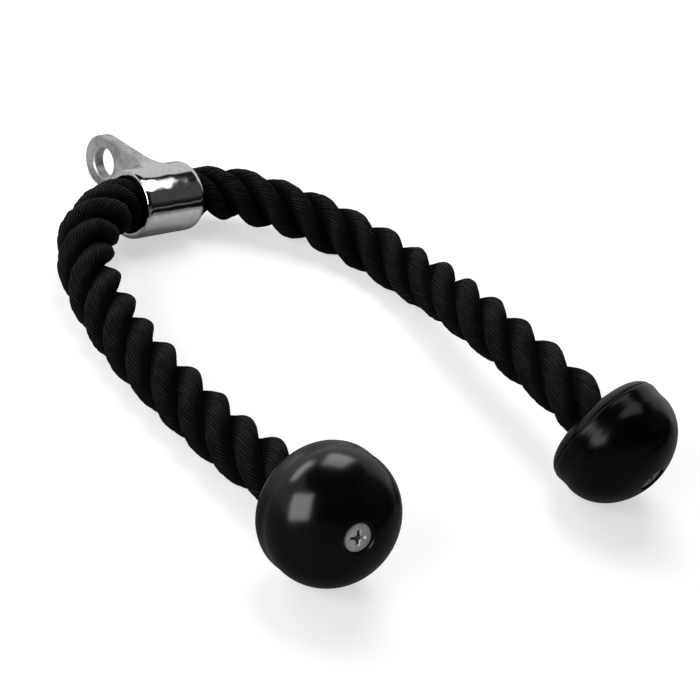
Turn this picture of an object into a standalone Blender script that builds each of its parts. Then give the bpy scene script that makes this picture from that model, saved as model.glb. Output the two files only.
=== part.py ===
"""Triceps rope: a laid rope through a chromed eye collar, with a rubber stop ball screwed to each end.

Metres, +Z up. The rope lies on a flat surface at z = 0 as a long U, its collar at +Y and its balls at -Y.
The origin is the middle of the footprint. The barrel of the collar runs along X.
"""

import math

import bmesh
import bpy
from mathutils import Matrix, Vector

# Gaps that every piece keeps to its neighbour, and the overrun of every cut
FIT_GAP = 0.0003
CUT_OVERRUN = 0.002

# Rope
ROPE_DIAMETER = 0.0286
ROPE_STEP = 0.012
SOCKET_LEAD = 0.003

# Collar barrel, whose bore follows the rope and whose outside follows the bore
BARREL_LENGTH = 0.039
BARREL_WALL = 0.0044
BARREL_END_ROUND = 0.0045
MOUTH_FLARE_SHARE = 0.5
LIP_SHARE = 0.18
MOUTH_FLARE_DEPTH = 0.006
COLLAR_X = -0.0078
COLLAR_Y = 0.1156

# Eye tab of the collar
TAB_THICKNESS = 0.0072
TAB_EDGE_ROUND = 0.0014
TAB_FILLET = 0.0055
TAB_BURY = 0.0006
EYE_REACH = 0.0455
EYE_RADIUS = 0.0142
EYE_HOLE_DIAMETER = 0.0165
EYE_HOLE_ROUND = 0.0012
# The hole's centre is this much nearer to the barrel than the eye's outer arc, for a thicker tip
EYE_HOLE_SETBACK = 0.0022

# Where each arm of the rope turns, outside the mouth of the barrel
PIVOT_OUTSIDE = 0.004

# Stop ball
BALL_RADIUS = 0.0336
BALL_DOME_LENGTH = 0.027
BALL_SKIRT_LENGTH = 0.0175
WAIST_DEPTH = 0.0003
WAIST_FROM_DOME = 0.0025
BAND_RADIUS = 0.0337
BAND_FROM_DOME = 0.0083
CREASE_FROM_DOME = 0.0109
CREASE_DEPTH = 0.0005
CREASE_WIDTH = 0.0010
BACK_EDGE_RADIUS = 0.0225
BACK_EDGE_HEIGHT = 0.0092
BACK_FACE_DISH = 0.0006
SOCKET_DEPTH = 0.027

# Screw, washer and their recess in the tip of the ball
SCREW_HEAD_DIAMETER = 0.0142
SCREW_HEAD_HEIGHT = 0.0034
SCREW_HEAD_CROWN = 0.0012
SCREW_SHANK_DIAMETER = 0.0055
SCREW_LENGTH = 0.030
SCREW_POINT_LENGTH = 0.006
CROSS_LENGTH = 0.0072
CROSS_WIDTH = 0.0016
CROSS_DEPTH = 0.0024
HEAD_BELOW_RIM = 0.0015
HEAD_CLEARANCE = 0.0007
WASHER_DIAMETER = 0.0148
WASHER_THICKNESS = 0.0012
SHANK_CLEARANCE = 0.0004

# What holds the rope end inside the ball
FERRULE_WALL = 0.0014
FERRULE_LENGTH = 0.0195
ANCHOR_DIAMETER = 0.011
ANCHOR_LENGTH = 0.018
ANCHOR_FLANGE_DIAMETER = 0.014
ANCHOR_FLANGE_THICKNESS = 0.0012

# How far each arm reaches back from its pivot to the back of its ball
LEFT_REACH = 0.2386
RIGHT_REACH = 0.2462

# Centre line of each arm beyond its pivot, to the back of its ball: X and Y as shares of the
# arm's reach, measured from the pivot, and Z in metres above the surface that the rope lies on.
LEFT_ROUTE = (
    (-0.0348, -0.0101, 0.0206),
    (-0.1039, -0.0541, 0.0240),
    (-0.1681, -0.0985, 0.0229),
    (-0.2087, -0.1542, 0.0202),
    (-0.2313, -0.2121, 0.0177),
    (-0.2443, -0.2720, 0.0160),
    (-0.2628, -0.3885, 0.0148),
    (-0.2678, -0.4979, 0.0148),
    (-0.2628, -0.6115, 0.0151),
    (-0.2573, -0.7163, 0.0161),
    (-0.2502, -0.8085, 0.0182),
    (-0.2410, -0.8881, 0.0211),
    (-0.2427, -0.9514, 0.0248),
    (-0.2573, -1.0000, 0.0294),
)
RIGHT_ROUTE = (
    (0.0475, -0.0041, 0.0184),
    (0.1080, -0.0232, 0.0190),
    (0.1535, -0.0516, 0.0186),
    (0.2331, -0.1154, 0.0172),
    (0.3022, -0.1901, 0.0149),
    (0.3457, -0.2778, 0.0150),
    (0.3611, -0.3777, 0.0172),
    (0.3574, -0.4744, 0.0232),
    (0.3416, -0.5682, 0.0287),
    (0.3327, -0.6621, 0.0326),
    (0.3282, -0.7673, 0.0352),
    (0.3197, -0.8790, 0.0380),
    (0.3152, -0.9484, 0.0385),
    (0.3213, -1.0000, 0.0365),
)

# Facets of the round pieces
BARREL_SIDES = 48
BALL_SIDES = 48
SMALL_SIDES = 32
ARC_STEPS = 6
EDGE_STEPS = 3
CURVE_STEPS = 20
SHARP_DEGREES = 35.0

# The round start of each arm begins with a small flat this share of the way up its arc
ROUND_START_SHARE = 0.12

# The cross recess is this share of its width at the bottom
CROSS_FOOT_SHARE = 0.45

ROPE_RADIUS = ROPE_DIAMETER / 2
BORE_RADIUS = ROPE_RADIUS + FIT_GAP
BARREL_RADIUS = BORE_RADIUS + BARREL_WALL
MOUTH_RADIUS = BORE_RADIUS + MOUTH_FLARE_SHARE * BARREL_WALL
LIP_RADIUS = MOUTH_RADIUS + LIP_SHARE * BARREL_WALL
PIVOT_REACH = BARREL_LENGTH / 2 + PIVOT_OUTSIDE
BALL_LENGTH = BALL_DOME_LENGTH + BALL_SKIRT_LENGTH
SOCKET_RADIUS = ROPE_RADIUS + FIT_GAP
FERRULE_RADIUS = SOCKET_RADIUS - FIT_GAP
ROPE_END_RADIUS = FERRULE_RADIUS - FERRULE_WALL - FIT_GAP
RECESS_RADIUS = SCREW_HEAD_DIAMETER / 2 + HEAD_CLEARANCE
ANCHOR_BORE_RADIUS = SCREW_SHANK_DIAMETER / 2 + FIT_GAP
ROPE_END_FOOT = SOCKET_LEAD + FIT_GAP
ROPE_END_TOP = SOCKET_DEPTH - ANCHOR_FLANGE_THICKNESS - 2 * FIT_GAP


def clear_scene():
    for obj in list(bpy.data.objects):
        bpy.data.objects.remove(obj, do_unlink=True)


def material(name, colour, roughness, metallic=0.0):
    made = bpy.data.materials.new(name)
    made.use_nodes = True
    shader = made.node_tree.nodes["Principled BSDF"]
    shader.inputs["Base Color"].default_value = (*colour, 1.0)
    shader.inputs["Roughness"].default_value = roughness
    shader.inputs["Metallic"].default_value = metallic
    made.diffuse_color = (*colour, 1.0)
    return made


def empty(name, matrix, parent=None):
    made = bpy.data.objects.new(name, None)
    bpy.context.scene.collection.objects.link(made)
    place(made, matrix, parent)
    return made


def place(obj, matrix, parent=None):
    """Puts obj at a world matrix, under a parent whose own place is already set."""
    obj.parent = parent
    obj.matrix_world = matrix
    bpy.context.view_layer.update()


def piece(name, mesh, finish, matrix, parent):
    obj = bpy.data.objects.new(name, mesh)
    bpy.context.scene.collection.objects.link(obj)
    obj.data.materials.append(finish)
    place(obj, matrix, parent)
    return obj


def smooth_shading(mesh):
    mesh.shade_smooth()
    mesh.set_sharp_from_angle(angle=math.radians(SHARP_DEGREES))


def turned(name, profile, sides, closed=True):
    """A mesh turned about local Z from (radius, height) points that run with the solid on their left.

    A closed profile is a ring. An open one starts and ends on the axis.
    """
    bm = bmesh.new()
    rings = []
    for radius, height in profile:
        if radius == 0:
            rings.append([bm.verts.new((0, 0, height))])
            continue
        turns = [2 * math.pi * k / sides for k in range(sides)]
        rings.append([bm.verts.new((radius * math.cos(t), radius * math.sin(t), height)) for t in turns])
    pairs = list(zip(rings, rings[1:]))
    if closed:
        pairs.append((rings[-1], rings[0]))
    for low, high in pairs:
        for k in range(sides):
            n = (k + 1) % sides
            if len(low) == 1:
                bm.faces.new((low[0], high[n], high[k]))
            elif len(high) == 1:
                bm.faces.new((low[k], low[n], high[0]))
            else:
                bm.faces.new((low[k], low[n], high[n], high[k]))
    bmesh.ops.recalc_face_normals(bm, faces=bm.faces)
    mesh = bpy.data.meshes.new(name)
    bm.to_mesh(mesh)
    bm.free()
    smooth_shading(mesh)
    return mesh


def arc(centre, radii, start_degrees, end_degrees, steps=ARC_STEPS):
    """Points on an ellipse's arc about centre, both ends included."""
    points = []
    for k in range(steps + 1):
        turn = math.radians(start_degrees + (end_degrees - start_degrees) * k / steps)
        points.append((centre[0] + radii[0] * math.cos(turn), centre[1] + radii[1] * math.sin(turn)))
    return points


def cutter(name, mesh, matrix):
    obj = bpy.data.objects.new(name, mesh)
    bpy.context.scene.collection.objects.link(obj)
    obj.matrix_world = matrix
    obj.hide_render = True
    obj.display_type = "WIRE"
    return obj


def boolean(obj, other, operation):
    made = obj.modifiers.new(other.name, "BOOLEAN")
    made.operation = operation
    made.solver = "EXACT"
    made.object = other


def tangent_outline(root_radius, eye_radius, inset, steps=10):
    """Outline round the barrel's circle and the eye's circle, joined by their common tangents.

    The barrel's axis is at (0, 0) and the eye at (EYE_REACH, 0), in the plane of the tab.
    """
    root, eye = root_radius - inset, eye_radius - inset
    lean = math.degrees(math.asin((root - eye) / EYE_REACH))
    outline = arc((EYE_REACH, 0), (eye, eye), -90 + lean, 90 - lean, 2 * steps)
    outline += arc((0, 0), (root, root), 90 - lean, 270 + lean, 2 * steps)
    return outline


def tab_prism(name, half_thickness, edge_round, shrink=0.0):
    """The tab's outline given thickness along local Z, with its outer edges rounded."""
    layers = []
    for k in range(EDGE_STEPS + 1):
        turn = math.pi / 2 * k / EDGE_STEPS
        inset = edge_round * (1 - math.cos(turn)) if edge_round else 0
        layers.append((edge_round * math.sin(turn) + half_thickness - edge_round, inset))
        if not edge_round:
            break
    stack = [(-z, inset) for z, inset in reversed(layers)] + layers
    bm = bmesh.new()
    rings = []
    for z, inset in stack:
        points = tangent_outline(BARREL_RADIUS - TAB_BURY, EYE_RADIUS, inset + shrink)
        rings.append([bm.verts.new((x, y, z)) for x, y in points])
    count = len(rings[0])
    for low, high in zip(rings, rings[1:]):
        for k in range(count):
            n = (k + 1) % count
            bm.faces.new((low[k], low[n], high[n], high[k]))
    bm.faces.new(list(reversed(rings[0])))
    bm.faces.new(rings[-1])
    bmesh.ops.recalc_face_normals(bm, faces=bm.faces)
    mesh = bpy.data.meshes.new(name)
    bm.to_mesh(mesh)
    bm.free()
    return mesh


def barrel_profile():
    """Outside of the barrel, from the axis at one end to the axis at the other."""
    half = BARREL_LENGTH / 2
    rise = BARREL_RADIUS - LIP_RADIUS
    low = arc((LIP_RADIUS, -half + BARREL_END_ROUND), (rise, BARREL_END_ROUND), -90, 0)
    high = [(radius, -height) for radius, height in reversed(low)]
    return [(0, -half), *low, *high, (0, half)]


def bore_profile():
    """The bore with its flared mouths, from below one end to above the other."""
    half = BARREL_LENGTH / 2
    flare = MOUTH_RADIUS - BORE_RADIUS
    low = arc((MOUTH_RADIUS, -half + MOUTH_FLARE_DEPTH), (-flare, -MOUTH_FLARE_DEPTH), 90, 0)
    low = [(MOUTH_RADIUS, -half - CUT_OVERRUN), *low]
    high = [(radius, -height) for radius, height in reversed(low)]
    return [(0, -half - CUT_OVERRUN), *low, *high, (0, half + CUT_OVERRUN)]


def fillet_profile():
    """A disc with hollow flanks that blends the tab into the barrel."""
    half = TAB_THICKNESS / 2
    reach = BARREL_RADIUS + TAB_FILLET
    low = arc((reach, -half - TAB_FILLET), (-TAB_FILLET, TAB_FILLET), 0, 90)
    low = [(BARREL_RADIUS - TAB_BURY - CUT_OVERRUN, -half - TAB_FILLET)] + low
    high = [(radius, -height) for radius, height in reversed(low)]
    return low + high


def eye_hole_profile():
    """The eye's hole with its rounded edges."""
    half = TAB_THICKNESS / 2
    hole = EYE_HOLE_DIAMETER / 2
    low = arc((hole + EYE_HOLE_ROUND, -half + EYE_HOLE_ROUND), (-EYE_HOLE_ROUND, -EYE_HOLE_ROUND), 90, 0, 4)
    low = [(hole + EYE_HOLE_ROUND, -half - CUT_OVERRUN), *low]
    high = [(radius, -height) for radius, height in reversed(low)]
    return [(0, -half - CUT_OVERRUN), *low, *high, (0, half + CUT_OVERRUN)]


def make_collar(chrome, pivot):
    """Barrel and tab as one casting. Local Z is the barrel's axis, local X runs to the eye."""
    # The eye's edge rests on the same surface as the barrel, so the tab leans down by this much
    droop = math.asin((BARREL_RADIUS - EYE_RADIUS) / EYE_REACH)
    axes = Matrix(((0, 0, 1), (1, 0, 0), (0, 1, 0))).to_4x4()
    matrix = Matrix.Translation(pivot.matrix_world.translation) @ Matrix.Rotation(-droop, 4, "X") @ axes
    barrel = turned("eye_collar", barrel_profile(), BARREL_SIDES, False)
    collar = piece("eye_collar", barrel, chrome, matrix, pivot)
    tab = cutter("tab_shape", tab_prism("tab_shape", TAB_THICKNESS / 2, TAB_EDGE_ROUND), matrix)
    flare = cutter("fillet_shape", turned("fillet_shape", fillet_profile(), BARREL_SIDES), matrix)
    wide = TAB_THICKNESS / 2 + TAB_FILLET + CUT_OVERRUN
    within = cutter("fillet_bounds", tab_prism("fillet_bounds", wide, 0, FIT_GAP), matrix)
    boolean(flare, within, "INTERSECT")
    bore = cutter("bore_cut", turned("bore_cut", bore_profile(), BARREL_SIDES, False), matrix)
    eye = cutter(
        "eye_cut",
        turned("eye_cut", eye_hole_profile(), SMALL_SIDES, False),
        matrix @ Matrix.Translation((EYE_REACH - EYE_HOLE_SETBACK, 0, 0)),
    )
    boolean(collar, flare, "UNION")
    boolean(collar, tab, "UNION")
    boolean(collar, bore, "DIFFERENCE")
    boolean(collar, eye, "DIFFERENCE")
    return collar


def through(points, step):
    """Points about step apart on a smooth curve (centripetal Catmull and Rom) through the given ones."""
    knots = [Vector(p) for p in points]
    knots = [2 * knots[0] - knots[1], *knots, 2 * knots[-1] - knots[-2]]
    fine = []
    for a, b, c, d in zip(knots, knots[1:], knots[2:], knots[3:]):
        t0, t1 = 0.0, (b - a).length ** 0.5
        t2 = t1 + (c - b).length ** 0.5
        t3 = t2 + (d - c).length ** 0.5
        for k in range(CURVE_STEPS):
            t = t1 + (t2 - t1) * k / CURVE_STEPS
            ab = a * ((t1 - t) / (t1 - t0)) + b * ((t - t0) / (t1 - t0))
            bc = b * ((t2 - t) / (t2 - t1)) + c * ((t - t1) / (t2 - t1))
            cd = c * ((t3 - t) / (t3 - t2)) + d * ((t - t2) / (t3 - t2))
            abc = ab * ((t2 - t) / (t2 - t0)) + bc * ((t - t0) / (t2 - t0))
            bcd = bc * ((t3 - t) / (t3 - t1)) + cd * ((t - t1) / (t3 - t1))
            fine.append(abc * ((t2 - t) / (t2 - t1)) + bcd * ((t - t1) / (t2 - t1)))
    fine.append(knots[-2])
    lengths = [0.0]
    for a, b in zip(fine, fine[1:]):
        lengths.append(lengths[-1] + (b - a).length)
    count = max(2, round(lengths[-1] / step))
    even, at = [fine[0]], 0
    for k in range(1, count):
        wanted = lengths[-1] * k / count
        while lengths[at + 1] < wanted:
            at += 1
        share = (wanted - lengths[at]) / (lengths[at + 1] - lengths[at])
        even.append(fine[at].lerp(fine[at + 1], share))
    return [*even, fine[-1]]


def arm_route(out, reach, table):
    """Points of one arm's centre line, the first of them on its pivot just outside the barrel's mouth."""
    start = (COLLAR_X + out, COLLAR_Y, BARREL_RADIUS)
    return [start, *((start[0] + reach * x, start[1] + reach * y, z) for x, y, z in table)]


def make_rope_arm(name, route, nylon, pivot):
    """The free stretch of one arm: a tube with a round end in the collar, which turns on the pivot."""
    line = through(route, ROPE_STEP)
    start = (line[1] - line[0]).normalized()
    end = (Vector(route[-1]) - Vector(route[-2])).normalized()
    points = []
    for k in range(ARC_STEPS):
        turn = math.pi / 2 * (ROUND_START_SHARE + (1 - ROUND_START_SHARE) * k / ARC_STEPS)
        points.append((line[0] - start * ROPE_RADIUS * math.cos(turn), math.sin(turn)))
    points += [(point, 1.0) for point in line]
    points.append((line[-1] + end * SOCKET_LEAD, 1.0))
    curve = bpy.data.curves.new(name, "CURVE")
    curve.dimensions = "3D"
    curve.bevel_depth = ROPE_RADIUS
    curve.bevel_resolution = 4
    curve.use_fill_caps = True
    spline = curve.splines.new("POLY")
    spline.points.add(len(points) - 1)
    origin = pivot.matrix_world.translation
    for made, (at, radius) in zip(spline.points, points):
        made.co = (*(at - origin), 1.0)
        made.radius = radius
    spline.use_smooth = True
    curve.materials.append(nylon)
    arm = bpy.data.objects.new(name, curve)
    bpy.context.scene.collection.objects.link(arm)
    place(arm, Matrix.Translation(origin), pivot)
    return arm


def ball_profile():
    """Section of a stop ball. Height 0 is its back face, and the tip is at BALL_LENGTH."""
    dome_foot = BALL_SKIRT_LENGTH
    rim_turn = math.degrees(math.acos(RECESS_RADIUS / BALL_RADIUS))
    rim = dome_foot + BALL_DOME_LENGTH * math.sin(math.radians(rim_turn))
    seat = rim - HEAD_BELOW_RIM - SCREW_HEAD_HEIGHT - WASHER_THICKNESS - 2 * FIT_GAP
    hole = SCREW_SHANK_DIAMETER / 2 + SHANK_CLEARANCE
    crease = dome_foot - CREASE_FROM_DOME
    socket = SOCKET_DEPTH
    dome = arc((0, dome_foot), (BALL_RADIUS, BALL_DOME_LENGTH), 0, rim_turn, 2 * ARC_STEPS)
    # the back is rounded on a quarter ellipse that would end at the band, and the crease cuts it short
    edge_end = math.degrees(math.asin((crease - CREASE_WIDTH / 2) / BACK_EDGE_HEIGHT - 1))
    edge = arc(
        (BACK_EDGE_RADIUS, BACK_EDGE_HEIGHT),
        (BAND_RADIUS - BACK_EDGE_RADIUS, BACK_EDGE_HEIGHT),
        -90,
        edge_end,
    )
    skirt = edge[-1][0]
    return [
        (SOCKET_RADIUS, BACK_FACE_DISH),
        *edge,
        (skirt - CREASE_DEPTH, crease),
        (skirt + CREASE_DEPTH, crease + CREASE_WIDTH / 2),
        (BAND_RADIUS, dome_foot - BAND_FROM_DOME),
        (BALL_RADIUS - WAIST_DEPTH, dome_foot - WAIST_FROM_DOME),
        *dome,
        (RECESS_RADIUS, seat),
        (hole, seat),
        (hole, socket),
        (SOCKET_RADIUS, socket),
    ]


def seat_height():
    """Height of the washer's seat above the back face of the ball."""
    return min(height for radius, height in ball_profile() if radius == RECESS_RADIUS)


def screw_profile():
    """Section of the screw from its point at the bottom to its crowned head. Height 0 is under the head."""
    shank = SCREW_SHANK_DIAMETER / 2
    head = SCREW_HEAD_DIAMETER / 2
    shoulder = SCREW_HEAD_HEIGHT - SCREW_HEAD_CROWN
    crown = arc((0, shoulder), (head, SCREW_HEAD_CROWN), 0, 90, 5)
    return [
        (0, -SCREW_LENGTH),
        (shank, -SCREW_LENGTH + SCREW_POINT_LENGTH),
        (shank, 0),
        (head, 0),
        *crown[:-1],
        (0, SCREW_HEAD_HEIGHT),
    ]


def cross_cut(name, matrix):
    """A tapering cross for the driver: two crossed blades that narrow as they go down."""
    bm = bmesh.new()
    top = SCREW_HEAD_HEIGHT + CUT_OVERRUN
    bottom = SCREW_HEAD_HEIGHT - CROSS_DEPTH
    half_long, half_wide = CROSS_LENGTH / 2, CROSS_WIDTH / 2
    rings = []
    for height, long_share in ((bottom, CROSS_FOOT_SHARE), (SCREW_HEAD_HEIGHT, 1), (top, 1)):
        out = half_long * long_share
        corner = [
            (out, -half_wide), (out, half_wide), (half_wide, half_wide), (half_wide, out),
            (-half_wide, out), (-half_wide, half_wide), (-out, half_wide), (-out, -half_wide),
            (-half_wide, -half_wide), (-half_wide, -out), (half_wide, -out), (half_wide, -half_wide),
        ]
        rings.append([bm.verts.new((x, y, height)) for x, y in corner])
    for low, high in zip(rings, rings[1:]):
        for k in range(len(low)):
            n = (k + 1) % len(low)
            bm.faces.new((low[k], low[n], high[n], high[k]))
    bm.faces.new(list(reversed(rings[0])))
    bm.faces.new(rings[-1])
    bmesh.ops.recalc_face_normals(bm, faces=bm.faces)
    mesh = bpy.data.meshes.new(name)
    bm.to_mesh(mesh)
    bm.free()
    return cutter(name, mesh, matrix)


def ring_profile(inner, outer, low, high):
    return [(inner, low), (outer, low), (outer, high), (inner, high)]


def make_end(side, route, finishes, pivot):
    """Ball, screw, washer, ferrule, anchor and rope end of one arm, on an axis that carries on the rope's."""
    axis = (Vector(route[-1]) - Vector(route[-2])).normalized()
    turn = axis.to_track_quat("Z", "Y").to_matrix().to_4x4()
    end = empty(f"{side}_end", Matrix.Translation(route[-1]) @ turn, pivot)
    at = end.matrix_world.copy()
    ball = turned(f"{side}_stop_ball", ball_profile(), BALL_SIDES)
    piece(f"{side}_stop_ball", ball, finishes["rubber"], at, end)

    anchor_hole = ANCHOR_DIAMETER / 2 + FIT_GAP
    rope_end = ring_profile(anchor_hole, ROPE_END_RADIUS, ROPE_END_FOOT, ROPE_END_TOP)
    piece(f"{side}_rope_end", turned(f"{side}_rope_end", rope_end, SMALL_SIDES), finishes["nylon"], at, end)

    ferrule_foot = (ROPE_END_FOOT + ROPE_END_TOP - FERRULE_LENGTH) / 2
    ferrule = ring_profile(
        ROPE_END_RADIUS + FIT_GAP, FERRULE_RADIUS, ferrule_foot, ferrule_foot + FERRULE_LENGTH
    )
    ferrule = turned(f"{side}_crimp_ferrule", ferrule, SMALL_SIDES)
    piece(f"{side}_crimp_ferrule", ferrule, finishes["aluminium"], at, end)

    flange_foot = ROPE_END_TOP + FIT_GAP
    flange_top = flange_foot + ANCHOR_FLANGE_THICKNESS
    anchor = [
        (ANCHOR_BORE_RADIUS, flange_top - ANCHOR_LENGTH),
        (ANCHOR_DIAMETER / 2, flange_top - ANCHOR_LENGTH),
        (ANCHOR_DIAMETER / 2, flange_foot),
        (ANCHOR_FLANGE_DIAMETER / 2, flange_foot),
        (ANCHOR_FLANGE_DIAMETER / 2, flange_top),
        (ANCHOR_BORE_RADIUS, flange_top),
    ]
    anchor = turned(f"{side}_screw_anchor", anchor, SMALL_SIDES)
    piece(f"{side}_screw_anchor", anchor, finishes["plastic"], at, end)

    washer_foot = seat_height() + FIT_GAP
    washer_hole = SCREW_SHANK_DIAMETER / 2 + SHANK_CLEARANCE
    washer = ring_profile(washer_hole, WASHER_DIAMETER / 2, washer_foot, washer_foot + WASHER_THICKNESS)
    piece(f"{side}_washer", turned(f"{side}_washer", washer, SMALL_SIDES), finishes["zinc"], at, end)

    head = at @ Matrix.Translation((0, 0, washer_foot + WASHER_THICKNESS + FIT_GAP))
    mesh = turned(f"{side}_end_screw", screw_profile(), SMALL_SIDES, False)
    screw = piece(f"{side}_end_screw", mesh, finishes["zinc"], head, end)
    boolean(screw, cross_cut(f"{side}_cross_cut", head), "DIFFERENCE")


def make_rope_middle(nylon, root):
    """The rope inside the barrel, whose ends clear the round ends of both arms."""
    half = PIVOT_REACH - ROPE_RADIUS - FIT_GAP
    profile = [(0, -half), (ROPE_RADIUS, -half), (ROPE_RADIUS, half), (0, half)]
    along_x = Matrix.Rotation(math.pi / 2, 4, "Y")
    at = Matrix.Translation((COLLAR_X, COLLAR_Y, BARREL_RADIUS)) @ along_x
    return piece("rope_middle", turned("rope_middle", profile, SMALL_SIDES, False), nylon, at, root)


def main():
    clear_scene()
    finishes = {
        "chrome": material("chrome", (0.80, 0.81, 0.82), 0.08, 1.0),
        "nylon": material("black_nylon_rope", (0.012, 0.012, 0.013), 0.62),
        "rubber": material("black_rubber", (0.014, 0.014, 0.014), 0.32),
        "zinc": material("zinc_steel", (0.62, 0.62, 0.61), 0.35, 1.0),
        "aluminium": material("crimp_aluminium", (0.72, 0.73, 0.74), 0.40, 1.0),
        "plastic": material("grey_plastic", (0.42, 0.42, 0.43), 0.55),
    }
    root = empty("rope_root", Matrix.Identity(4))
    collar_axis = Matrix.Translation((COLLAR_X, COLLAR_Y, BARREL_RADIUS))
    make_rope_middle(finishes["nylon"], root)
    make_collar(finishes["chrome"], empty("collar_axis", collar_axis, root))
    routes = {
        "left": arm_route(-PIVOT_REACH, LEFT_REACH, LEFT_ROUTE),
        "right": arm_route(PIVOT_REACH, RIGHT_REACH, RIGHT_ROUTE),
    }
    for side, route in routes.items():
        pivot = empty(f"{side}_arm_pivot", Matrix.Translation(route[0]), root)
        make_rope_arm(f"{side}_rope_arm", route, finishes["nylon"], pivot)
        make_end(side, route, finishes, pivot)


main()
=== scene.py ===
"""Looks of the triceps rope: three laid strands, a chromed casting and two moulded rubber balls.

Metres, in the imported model's frame. The collar, balls and screws are worked out in millimetres.
"""

import math

import bpy
import numpy as np
from mathutils import Matrix, Vector


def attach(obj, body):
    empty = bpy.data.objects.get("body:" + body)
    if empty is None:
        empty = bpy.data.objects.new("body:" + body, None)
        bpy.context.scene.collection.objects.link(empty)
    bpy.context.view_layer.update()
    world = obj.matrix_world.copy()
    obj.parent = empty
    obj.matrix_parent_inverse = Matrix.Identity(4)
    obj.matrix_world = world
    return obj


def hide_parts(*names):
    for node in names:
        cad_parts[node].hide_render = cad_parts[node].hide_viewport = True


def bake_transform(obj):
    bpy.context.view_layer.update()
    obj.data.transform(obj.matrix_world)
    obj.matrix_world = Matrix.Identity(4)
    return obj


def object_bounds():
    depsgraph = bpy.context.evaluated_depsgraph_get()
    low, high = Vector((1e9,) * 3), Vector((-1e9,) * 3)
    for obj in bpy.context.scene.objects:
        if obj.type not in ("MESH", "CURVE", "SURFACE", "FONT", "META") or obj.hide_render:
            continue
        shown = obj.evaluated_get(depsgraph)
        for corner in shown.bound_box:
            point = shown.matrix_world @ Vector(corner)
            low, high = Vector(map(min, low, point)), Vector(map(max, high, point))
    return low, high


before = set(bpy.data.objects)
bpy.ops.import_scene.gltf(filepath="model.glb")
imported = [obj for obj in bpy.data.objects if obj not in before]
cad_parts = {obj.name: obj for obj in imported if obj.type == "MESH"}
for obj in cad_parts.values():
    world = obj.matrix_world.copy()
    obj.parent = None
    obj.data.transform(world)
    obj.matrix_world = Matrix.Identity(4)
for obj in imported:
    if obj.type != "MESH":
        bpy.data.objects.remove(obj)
cad_low, cad_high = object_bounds()

MM = 0.001

# Camera, fitted to the photograph. Angles are in degrees: heading from +X towards +Y, dip below the level
CAMERA_PLACE = (-0.7468, -0.5991, 0.6421)
CAMERA_HEADING = 36.8425
CAMERA_DIP = 33.1231
CAMERA_ROLL = 22.2336
CAMERA_CLIP = (0.05, 50.0)
FOCAL_PIXELS = 2200.0
FRAME_PIXELS = 700.0
SENSOR_MM = 36.0

# Sizes from part.py, in metres
COLLAR_PLACE = Vector((-0.0078, 0.1156, 0.0190))
PIVOT_REACH = 0.0235
BARREL_HALF = 0.0195
SOCKET_LEAD = 0.003
LEFT_REACH = 0.2386
RIGHT_REACH = 0.2462
# Centre line of each arm from its pivot: X and Y as shares of its reach, and Z above the surface
LEFT_ROUTE = (
    (-0.0348, -0.0101, 0.0206), (-0.1039, -0.0541, 0.0240), (-0.1681, -0.0985, 0.0229),
    (-0.2087, -0.1542, 0.0202), (-0.2313, -0.2121, 0.0177), (-0.2443, -0.2720, 0.0160),
    (-0.2628, -0.3885, 0.0148), (-0.2678, -0.4979, 0.0148), (-0.2628, -0.6115, 0.0151),
    (-0.2573, -0.7163, 0.0161), (-0.2502, -0.8085, 0.0182), (-0.2410, -0.8881, 0.0211),
    (-0.2427, -0.9514, 0.0248), (-0.2573, -1.0000, 0.0294),
)
RIGHT_ROUTE = (
    (0.0475, -0.0041, 0.0184), (0.1080, -0.0232, 0.0190), (0.1535, -0.0516, 0.0186),
    (0.2331, -0.1154, 0.0172), (0.3022, -0.1901, 0.0149), (0.3457, -0.2778, 0.0150),
    (0.3611, -0.3777, 0.0172), (0.3574, -0.4744, 0.0232), (0.3416, -0.5682, 0.0287),
    (0.3327, -0.6621, 0.0326), (0.3282, -0.7673, 0.0352), (0.3197, -0.8790, 0.0380),
    (0.3152, -0.9484, 0.0385), (0.3213, -1.0000, 0.0365),
)

# Steps of the smooth curve between two of its points, before it is divided evenly
CURVE_STEPS = 24


def make_camera():
    data = bpy.data.cameras.new("camera")
    data.sensor_fit = "HORIZONTAL"
    data.sensor_width = SENSOR_MM
    data.lens = SENSOR_MM * FOCAL_PIXELS / FRAME_PIXELS
    data.clip_start, data.clip_end = CAMERA_CLIP
    camera = bpy.data.objects.new("camera", data)
    bpy.context.scene.collection.objects.link(camera)
    camera.matrix_world = (
        Matrix.Translation(CAMERA_PLACE)
        @ Matrix.Rotation(math.radians(CAMERA_HEADING - 90), 4, "Z")
        @ Matrix.Rotation(math.radians(90 - CAMERA_DIP), 4, "X")
        @ Matrix.Rotation(math.radians(CAMERA_ROLL), 4, "Z")
    )
    bpy.context.scene.camera = camera


def new_mesh(name, points, quads, tris=None, smooth=True):
    """An object from arrays of points and faces."""
    points = np.asarray(points, float)
    faces = np.asarray(quads, int).tolist()
    faces += [] if tris is None else np.asarray(tris, int).tolist()
    mesh = bpy.data.meshes.new(name)
    mesh.from_pydata(points.tolist(), [], faces)
    mesh.update()
    if smooth:
        mesh.shade_smooth()
    obj = bpy.data.objects.new(name, mesh)
    bpy.context.scene.collection.objects.link(obj)
    return obj


def point_values(mesh, name, values):
    attribute = mesh.attributes.new(name, "FLOAT", "POINT")
    attribute.data.foreach_set("value", np.asarray(values, np.float32).ravel())


def lengths_along(line):
    """Distance of each point of line from its first point, along the line."""
    return np.concatenate([[0.0], np.cumsum(np.linalg.norm(np.diff(line, axis=0), axis=1))])


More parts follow.
